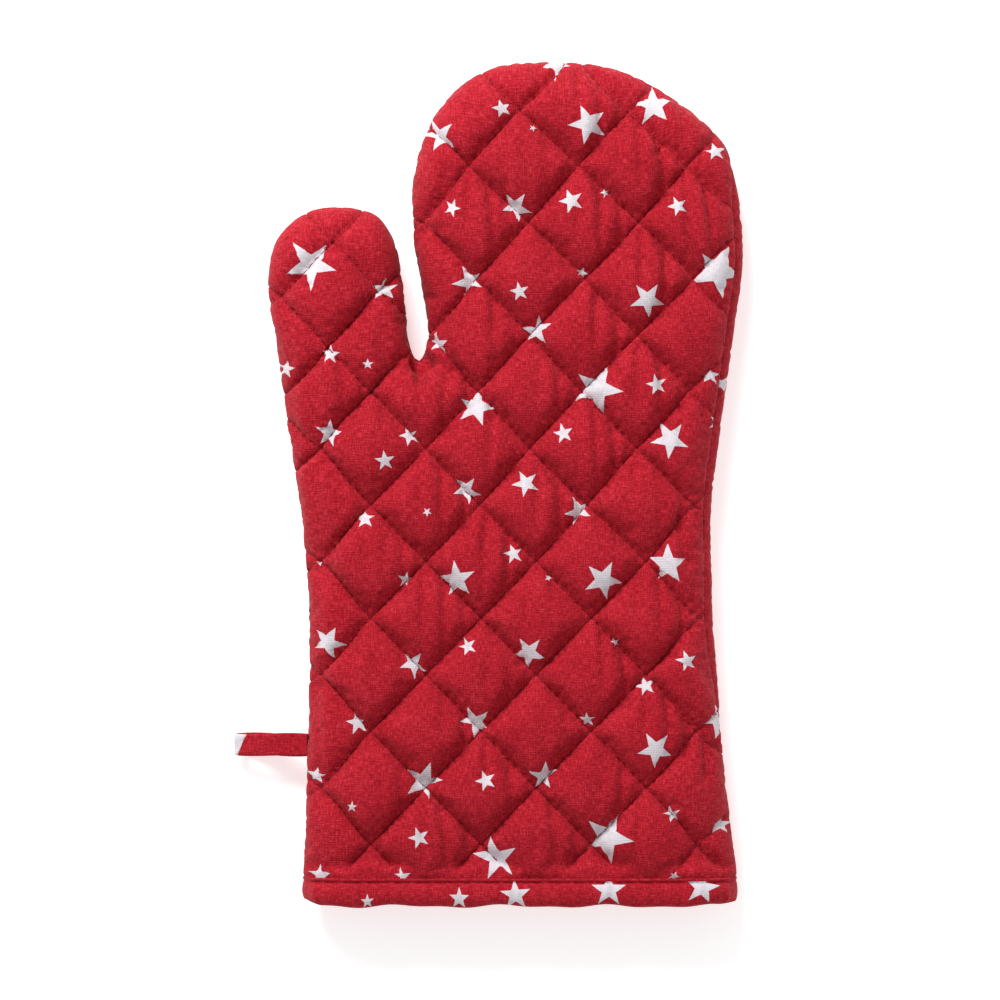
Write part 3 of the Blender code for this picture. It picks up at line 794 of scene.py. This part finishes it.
def paint(tree, factor, shader, stops):
    """Base colour from a factor, by (position, colour) stops."""
    ramp = add_node(tree, "ShaderNodeValToRGB")
    elements = ramp.color_ramp.elements
    for index, (position, colour) in enumerate((stops[0], stops[-1])):
        elements[index].position = position
        elements[index].color = (*colour, 1)
    for position, colour in stops[1:-1]:
        elements.new(position).color = (*colour, 1)
    tree.links.new(factor, ramp.inputs["Fac"])
    tree.links.new(ramp.outputs["Color"], shader.inputs["Base Color"])


def roughen(tree, height, shader, strength):
    bumped = add_node(tree, "ShaderNodeBump", Strength=strength, Distance=0.0003)
    tree.links.new(height, bumped.inputs["Height"])
    tree.links.new(bumped.outputs["Normal"], shader.inputs["Normal"])


def woven(name, colours, pitch, slub, bump, sheen):
    """Plain weave: streaks of thicker and paler threads both ways, and a fine grid of bumps."""
    made, tree, shader = new_material(name)
    coordinate = add_node(tree, "ShaderNodeTexCoord").outputs["UV"]
    fine = 1.0 / pitch
    weft = streaks(tree, coordinate, (slub, fine, 1.0))
    warp = streaks(tree, coordinate, (fine, slub, 1.0))
    broad = streaks(tree, coordinate, (70.0, 70.0, 70.0), 3.0)
    threads = combine(tree, "ADD", combine(tree, "MULTIPLY", weft, 0.5),
                      combine(tree, "MULTIPLY", warp, 0.5))
    tone = combine(tree, "ADD", combine(tree, "MULTIPLY", threads, 0.88),
                   combine(tree, "MULTIPLY", broad, 0.12))
    paint(tree, tone, shader, list(zip((0.36, 0.5, 0.64), colours)))
    grid = []
    for direction in ("X", "Y"):
        wave = add_node(tree, "ShaderNodeTexWave", bands_direction=direction,
                        Scale=0.314 / (2 * pitch), Distortion=0.6)
        wave.inputs["Detail Scale"].default_value = 300.0
        tree.links.new(coordinate, wave.inputs["Vector"])
        grid.append(wave.outputs["Fac"])
    height = combine(tree, "ADD", combine(tree, "MULTIPLY", grid[0], 0.25),
                     combine(tree, "MULTIPLY", grid[1], 0.25))
    height = combine(tree, "ADD", height, threads)
    roughen(tree, height, shader, bump)
    shader.inputs["Roughness"].default_value = 0.9
    shader.inputs["Sheen Weight"].default_value = sheen
    shader.inputs["Sheen Roughness"].default_value = 0.5
    shader.inputs["Specular IOR Level"].default_value = 0.2
    return made


def fibrous(name, colours, scale, bump, roughness):
    """Loose fibres or twisted thread: fine object-space noise in colour and height."""
    made, tree, shader = new_material(name)
    coordinate = add_node(tree, "ShaderNodeTexCoord").outputs["Object"]
    fibres = streaks(tree, coordinate, (scale, scale, scale), 4.0)
    paint(tree, fibres, shader, list(zip((0.3, 0.7), colours)))
    roughen(tree, fibres, shader, bump)
    shader.inputs["Roughness"].default_value = roughness
    shader.inputs["Specular IOR Level"].default_value = 0.25
    return made


LINEN = woven("printed_linen_red", ((0.20, 0.001, 0.007), (0.385, 0.005, 0.015), (0.56, 0.030, 0.050)),
              0.00042, 420.0, 0.5, 0.03)
PRINT = woven("printed_linen_star", ((0.55, 0.51, 0.55), (0.65, 0.605, 0.645), (0.72, 0.68, 0.715)),
              0.00042, 420.0, 0.4, 0.0)
COTTON = woven("lining_cotton_weave", ((0.46, 0.44, 0.40), (0.56, 0.54, 0.50), (0.64, 0.62, 0.58)),
               0.00035, 200.0, 0.4, 0.1)
WADDING = fibrous("wadding_fibres", ((0.66, 0.65, 0.62), (0.84, 0.83, 0.80)), 900.0, 0.8, 1.0)
# Thread colour is red thread made darker than the linen: partly its own colour, partly painted shade of the
# grooves its stitches lie in
THREAD_WITH_PAINTED_SHADE = fibrous("sewing_thread_red_painted_shade", ((0.14, 0.003, 0.008), (0.34, 0.010, 0.022)), 2500.0, 0.5, 0.6)


def bend(piece):
    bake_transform(piece)


def flat_lines(panel, lines):
    return [(name, unroll(panel, path)) for name, path in lines]


def beside(paths, shift):
    rows = []
    for _, flat in paths:
        along = np.gradient(flat, axis=0)
        across = np.stack([-along[:, 1], along[:, 0]], axis=1)
        across /= np.hypot(*across.T)[:, None]
        rows += [flat + across * shift, flat - across * shift]
    return np.vstack(rows)


def cut_outline(step):
    sides = side_curve(step)
    count = max(2, round((RIGHT - LEFT) / step))
    x = np.linspace(LEFT, RIGHT, count + 1)[1:-1]
    return np.vstack([sides, np.stack([x, np.full(count - 1, sides[0][1])], axis=1)])


def named_lines(step):
    """Stitched lines with the names of the frame's threads that they follow."""
    found = []
    boxes = {}
    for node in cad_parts:
        if node.startswith("front_thread"):
            low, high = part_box(node)
            boxes[node.removeprefix("front_thread_")] = np.array([*low[:2], *high[:2]]) / MM
    for family, path in stitched_lines(step):
        own = np.array([*path.min(axis=0), *path.max(axis=0)])
        name = min((n for n in boxes if n.startswith(family)), key=lambda n: np.abs(boxes[n] - own).sum())
        found.append((name, path))
    return found


def add_panel(panel, fine, lines):
    """Outer cloth, wadding, lining and quilting of one panel, in hand and thumb parts."""
    stars = STARS if panel == "front" else BACK_STARS
    rings = [star_outline(*star) for star in stars]
    if panel == "front":
        whole = [on_thumb(star[0], star[1]) for star in stars]
        rings = [unroll(panel, ring if keep else swallow(ring)) for ring, keep in zip(rings, whole)]
    flat = flat_lines(panel, lines)
    net = Net(cut_outline(fine), fine, rings, flat, beside(flat, BESIDE_LINES))
    shape = outer_shape(panel, net.points)
    seen, heights, normals, _, distance = rolled(panel, net.points)
    if panel == "back":
        net.triangles = net.triangles[:, ::-1]
    edge, _ = edge_field(net.points)
    pinned = set(np.nonzero((edge < 0.1) | (net.points[:, 1] < CUFF_TOP + 1.0))[0])
    for chain in net.lines.values():
        pinned.update(chain)
    shape = relax(shape, net.triangles, sorted(pinned), *PUFF[panel])
    loose = slack(seen) * smooth((distance - 2.0) / 10.0)
    if panel == "front":
        loose -= creases(seen) * smooth(distance / 2.8)
    shape = shape + normals * loose[:, None]
    shape[:, 2] = np.maximum(shape[:, 2], 0.0)
    normals = vertex_normals(shape, net.triangles)
    centres = net.points[net.triangles].mean(axis=1)
    thumb = on_thumb_seen(panel, centres)
    for side, chosen in (("hand", ~thumb), ("thumb", thumb)):
        used, kept = part_of(net.points, net.triangles, chosen)
        made = doubled(shape[used], kept, CLOTH, net.printed[chosen], net.points[used], normals[used])
        piece = add_piece(f"{panel}_cloth_{side}", *made, materials=(LINEN, PRINT))
        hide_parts(f"{panel}_outer_cloth")
        bend(piece)

    inner = Net(cut_outline(LAYER_STEP), LAYER_STEP, (), flat_lines(panel, named_lines(LAYER_STEP)))
    if panel == "back":
        inner.triangles = inner.triangles[:, ::-1]
    lining = inner_shape(panel, inner.points, 1.0)
    pad_top = inner_shape(panel, inner.points, 0.0)
    pad_low = inner_shape(panel, inner.points, 0.85)
    inside_normals = vertex_normals(lining, inner.triangles)
    centres = inner.points[inner.triangles].mean(axis=1)
    thumb = on_thumb_seen(panel, centres)
    for side, chosen in (("hand", ~thumb), ("thumb", thumb)):
        used, kept = part_of(inner.points, inner.triangles, chosen)
        made = doubled(lining[used], kept, LINING, None, inner.points[used], inside_normals[used])
        piece = add_piece(f"{panel}_lining_{side}", *made, materials=(COTTON,))
        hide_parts(f"{panel}_lining")
        bend(piece)
        chosen = chosen & (centres[:, 1] > CUFF_TOP - 6.0)
        used, kept = part_of(inner.points, inner.triangles, chosen)
        count = len(used)
        faces = kept.tolist() + (kept[:, ::-1] + count).tolist()
        faces += [[b, a, a + count, b + count] for a, b in sorted(boundary_loops(kept))]
        piece = add_piece(f"{panel}_padding_{side}", np.vstack([pad_top[used], pad_low[used]]), faces,
                          materials=(WADDING,))
        if side == "thumb":
            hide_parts(f"{panel}_wadding_thumb")
        else:
            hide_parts(f"{panel}_wadding_palm", f"{panel}_wadding_fingers")
        bend(piece)

    for name, chain in sorted(net.lines.items()):
        path = shape[chain] + normals[chain] * 0.1
        piece = stitches(f"{panel}_quilting_{name}", path, normals[chain], **QUILTING_STITCH)
        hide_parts(f"{panel}_thread_{name}")
        side = LINE_SIDE[name]
        if side == "palm":
            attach(piece, "palm")
        else:
            bend(piece)


def seam_path(side):
    """The seam round the hand or the thumb, as points and outward directions."""
    curve = side_curve(1.0)
    curve = curve[curve[:, 1] > CUFF_TOP - 2.0]
    thumb = on_thumb(curve[:, 0], curve[:, 1])
    runs, start = [], 0
    for i in range(1, len(curve) + 1):
        if i == len(curve) or thumb[i] != thumb[start]:
            runs.append((bool(thumb[start]), curve[start:min(i + 1, len(curve))]))
            start = i
    return [run for is_thumb, run in runs if is_thumb == (side == "thumb")]


def add_seam():
    """Thread that closes the sides, lying in the groove between the panels."""
    for side in ("hand", "thumb"):
        points, faces = [], []
        for run in seam_path(side):
            shape = outer_shape("front", run)
            _, _, normals, _, _ = rolled("front", run)
            shape = shape - normals * SEAM_SUNK
            across = unit(np.cross(np.gradient(shape, axis=0), normals))
            add_tube(points, faces, shape, across, normals, [SEAM_RADIUS] * len(shape))
        piece = add_piece(f"side_seam_{side}", np.array(points), faces, materials=(THREAD_WITH_PAINTED_SHADE,))
        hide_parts("side_seam_thread")
        bend(piece)


# Binding: (y, outward) across the folded strip, from the fold under its front edge round the hem
WALL = 3.4
GROOVE_Y = -151.1
STITCH_POINTS = 900
BINDING_SECTION = [
    (-152.2, -0.30), (-150.8, -0.40), (-149.75, -0.20), (-149.5, 0.45), (-149.8, 1.15), (-150.4, 1.15),
    (-151.1, 0.15), (-151.9, 1.15), (-153.4, 1.85), (-155.6, 2.15), (-157.8, 1.75), (-159.3, 0.75),
    (-159.9, -0.7), (-159.9, -2.4), (-159.2, -WALL - 0.8), (-157.2, -WALL - 1.5), (-154.5, -WALL - 1.6),
    (-151.8, -WALL - 1.1), (-150.6, -WALL - 1.3), (-149.8, -WALL - 0.9), (-150.0, -WALL - 0.3),
]


def strip_outline(length, width, count_s, count_w):
    """Rectangle of a strip's cut, with points along its sides."""
    s = np.linspace(0, length, count_s + 1)
    w = np.linspace(0, width, count_w + 1)
    return np.vstack([
        np.stack([s[:-1], np.zeros(count_s)], 1),
        np.stack([np.full(count_w, length), w[:-1]], 1),
        np.stack([s[:0:-1], np.full(count_s, width)], 1),
        np.stack([np.zeros(count_w), w[:0:-1]], 1),
    ])


def mouth_path():
    """The cuff's rim as a closed loop in X and Z, front from left to right, then the back."""
    x = np.arange(LEFT, RIGHT + 0.01, (RIGHT - LEFT) / 220)
    row = np.stack([x, np.full_like(x, CUFF_TOP)], axis=1)
    front = rolled("front", row)
    back = rolled("back", row)
    top = np.column_stack([front[0][:, 0], front[1]])
    low = np.column_stack([back[0][:, 0], back[1]])[::-1]
    loop = np.vstack([top, low[1:-1]])
    return resample(np.vstack([loop, loop[:1]]), 0.8)


def add_binding():
    """The folded strip round the mouth, with its print."""
    loop = mouth_path()
    section = np.array([tuple(p) for p in spline(BINDING_SECTION, 0.25)])
    along, across = arc_lengths(loop), arc_lengths(section)
    around, width = along[-1], across[-1]
    count_s, count_w = round(around / BINDING_STEP), round(width / BINDING_STEP_ACROSS)
    upper = np.arange(len(loop) // 2 - 12)
    outer = np.arange(20, np.argmin(section[:, 0]))
    outer = outer[np.argmax(section[outer, 0]):]
    rings = []
    for star in BINDING_STARS:
        ring = star_outline(*star)
        s = np.interp(ring[:, 0], loop[upper, 0], along[upper])
        w = np.interp(-ring[:, 1], -section[outer, 0], across[outer])
        rings.append(np.stack([s, w], axis=1))
    net = Net(strip_outline(around, width, count_s, count_w), BINDING_STEP, rings)
    s, w = net.points[:, 0], net.points[:, 1]
    spot = along_path(s, along, loop)
    ahead = along_path((s + BINDING_STEP) % around, along, loop)
    behind = along_path((s - BINDING_STEP) % around, along, loop)
    outward = quarter_turn(ahead - behind)
    y = np.interp(w, across, section[:, 0])
    out = np.interp(w, across, section[:, 1])
    hem = smooth((CUFF_TOP - 3.0 - y) / 7.0)
    turn = 2 * math.pi * s / around
    y = y + hem * (0.45 * np.sin(9 * turn + 0.6) + 0.3 * np.sin(17 * turn + 2.0) - 0.2)
    middle = (LEFT + RIGHT) / 2
    corner = smooth((np.abs(spot[:, 0] - middle) - ((RIGHT - LEFT) / 2 - 7.0)) / 8.0)
    y = y + hem * 1.8 * corner
    out = np.where(out > 0, out * (1 - 0.75 * smooth((corner - 0.1) / 0.6)), out)
    puckers = 0.16 * np.sin(2 * math.pi * s / 3.8) + 0.2 * np.sin(41 * turn + 1.0) + 0.15 * np.sin(67 * turn)
    out = out + puckers * smooth(out / 1.5) * (out > 0)
    shape = np.column_stack([spot[:, 0] + outward[:, 0] * out, y, spot[:, 1] + outward[:, 1] * out])
    net.triangles = net.triangles[:, ::-1]
    normals = vertex_normals(shape, net.triangles)
    made = doubled(shape, net.triangles, BINDING, net.printed, net.points, normals)
    piece = add_piece("cuff_binding_strip", *made, materials=(LINEN, PRINT))
    weld(piece)
    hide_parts("cuff_binding")
    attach(piece, "palm")
    add_binding_stitches(loop, section)


def add_binding_stitches(loop, section):
    """The row of stitches through the binding, in the groove along its front edge."""
    along = arc_lengths(loop)
    groove = np.argmin(np.abs(section[:, 0] - GROOVE_Y) + 10 * (np.arange(len(section)) < 40))
    y, lift = section[groove]
    spot = along_path(np.linspace(0, along[-1], STITCH_POINTS), along, loop)
    outward = quarter_turn(np.gradient(spot, axis=0))
    out = lift + 0.12
    path = np.column_stack([spot[:, 0] + outward[:, 0] * out, np.full(STITCH_POINTS, y),
                            spot[:, 1] + outward[:, 1] * out])
    ups = np.column_stack([outward[:, 0], np.zeros(STITCH_POINTS), outward[:, 1]])
    row = stitches("binding_stitches", path, ups, **BINDING_STITCH)
    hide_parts("binding_topstitch")
    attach(row, "palm")


def weld(piece):
    """Joins the coincident edges where a strip closes on itself."""
    work = bmesh.new()
    work.from_mesh(piece.data)
    bmesh.ops.remove_doubles(work, verts=work.verts, dist=0.02 * MM)
    inside_faces = [f for f in work.faces if len(f.verts) == 4 and all(
        len(e.link_faces) > 2 for e in f.edges if e.is_manifold is False) and any(
        len(e.link_faces) > 2 for e in f.edges)]
    bmesh.ops.delete(work, geom=inside_faces, context="FACES_ONLY")
    work.to_mesh(piece.data)
    work.free()


# Hanging loop
LOOP_ROOT_X, LOOP_ROOT_Y = -71.1, -99.75
LOOP_OUT, LOOP_RISE, LOOP_TIP = 21.6, 3.7, 5.0
LOOP_DROP = math.radians(17)
LOOP_WIDTH, LOOP_THICK = 8.7, 1.3
LOOP_SEWN = 2.4
# The tip of one star, in the strip's own length and girth
LOOP_PRINT = [(23.4, -1.0), (27.6, 9.4), (36.5, 9.9), (33.5, 4.6), (38.5, -1.0)]


def loop_line():
    """The strip's centre line in its own plane: distance out from the seam, and height."""
    points = [(-LOOP_SEWN, 0.7)]
    points += [(LOOP_OUT * i / 24, 0.75 + (LOOP_RISE - 0.75) * float(smooth(i / 18))) for i in range(25)]
    points += [(LOOP_OUT + LOOP_TIP * math.sin(math.pi * i / 20), LOOP_RISE * math.cos(math.pi * i / 20))
               for i in range(1, 20)]
    points += [(x, -z) for x, z in reversed(points[:26])]
    return resample(np.array(points), 0.5)


def add_loop():
    """A folded strip of the printed cloth, sewn into the side seam and turned back on itself."""
    line = loop_line()
    along = arc_lengths(line)
    length = along[-1]
    turns = np.linspace(0, 2 * math.pi, 65)
    half_w, half_t = LOOP_WIDTH / 2, LOOP_THICK / 2
    cos, sin = np.cos(turns), np.sin(turns)
    rim = np.stack([half_w * np.sign(cos) * np.abs(cos) ** 0.6,
                    half_t * np.sign(sin) * np.abs(sin) ** 0.6], 1)
    rim[:, 1] *= 0.72 + 0.28 * np.abs(rim[:, 0] / half_w) ** 2
    across = arc_lengths(rim)
    width = across[-1]
    outline = strip_outline(length, width, round(length / LOOP_STEP), round(width / LOOP_STEP))
    net = Net(outline, LOOP_STEP, [np.array(LOOP_PRINT)])
    s, w = net.points.T
    place = along_path(s, along, line)
    up = quarter_turn(along_path(s, along, np.gradient(line, axis=0)))
    side = np.interp(w, across, rim[:, 0])
    lift = np.interp(w, across, rim[:, 1])
    side = side * (1 - 0.05 * np.sin(math.pi * s / length) ** 2) + 0.25 * np.sin(s / 5.0)
    lift = lift + 0.12 * np.sin(s / 2.3 + side) * np.sin(math.pi * s / length)
    spot = place + up * lift[:, None]
    x = LOOP_ROOT_X - spot[:, 0] * math.cos(LOOP_DROP) - spot[:, 1] * math.sin(LOOP_DROP)
    z = SEAM - spot[:, 0] * math.sin(LOOP_DROP) + spot[:, 1] * math.cos(LOOP_DROP)
    shape = np.column_stack([x, LOOP_ROOT_Y + side, z])
    piece = add_piece("hanging_loop_strip", shape, net.triangles, net.printed, net.points, (LINEN, PRINT))
    work = bmesh.new()
    work.from_mesh(piece.data)
    bmesh.ops.remove_doubles(work, verts=work.verts, dist=0.02 * MM)
    bmesh.ops.holes_fill(work, edges=work.edges)
    bmesh.ops.recalc_face_normals(work, faces=work.faces)
    work.to_mesh(piece.data)
    work.free()
    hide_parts("hanging_loop")
    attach(piece, "loop")


def add_lamp(name, place, size, power):
    light = bpy.data.lights.new(name, "AREA")
    light.shape = "SQUARE"
    light.size = size
    light.energy = power
    lit = bpy.data.objects.new(name, light)
    lit.location = place
    lit.rotation_euler = (Vector((0, 0, 0)) - Vector(place)).to_track_quat("-Z", "Y").to_euler()
    bpy.context.collection.objects.link(lit)


# Studio, in metres
FLOOR_HALF, FLOOR_Z = 3, -0.0004
KEY_LIGHT = dict(place=(-0.50, 1.28, 1.05), size=0.72, power=33.0)
FILL_LIGHT = dict(place=(0.7, -0.7, 1.4), size=1.4, power=2.0)
SKY_STRENGTH = 0.48
FLOOR_GLOW = 0.5
CAMERA_PLACE = (0.004, -0.0068, 2.331)
CAMERA_LENS = 220.0


def add_studio():
    """Pale floor that glows a little, soft light from the upper left, and a camera straight above."""
    mesh = bpy.data.meshes.new("studio_floor")
    corners = [(x * FLOOR_HALF, y * FLOOR_HALF, FLOOR_Z) for x, y in ((-1, -1), (1, -1), (1, 1), (-1, 1))]
    mesh.from_pydata(corners, [], [(0, 1, 2, 3)])
    floor = bpy.data.objects.new("studio_floor", mesh)
    bpy.context.collection.objects.link(floor)
    made, _, shader = new_material("studio_floor")
    shader.inputs["Base Color"].default_value = (0.95, 0.95, 0.95, 1)
    shader.inputs["Emission Color"].default_value = (1.0, 1.0, 1.0, 1)
    shader.inputs["Emission Strength"].default_value = FLOOR_GLOW
    shader.inputs["Roughness"].default_value = 0.9
    mesh.materials.append(made)

    add_lamp("key_light", **KEY_LIGHT)
    add_lamp("fill_light", **FILL_LIGHT)
    world = bpy.data.worlds.new("studio_air")
    world.use_nodes = True
    world.node_tree.nodes["Background"].inputs["Color"].default_value = (1, 1, 1, 1)
    world.node_tree.nodes["Background"].inputs["Strength"].default_value = SKY_STRENGTH
    bpy.context.scene.world = world
    bpy.context.scene.view_settings.view_transform = "Standard"

    camera = bpy.data.cameras.new("camera")
    camera.lens = CAMERA_LENS
    camera.sensor_width = 36.0
    camera.clip_end = 20.0
    view = bpy.data.objects.new("camera", camera)
    view.location = CAMERA_PLACE
    bpy.context.collection.objects.link(view)
    bpy.context.scene.camera = view


lines = named_lines(FRONT_STEP)
add_panel("front", FRONT_STEP, lines)
add_panel("back", BACK_STEP, lines)
add_seam()
add_binding()
add_loop()
add_studio()
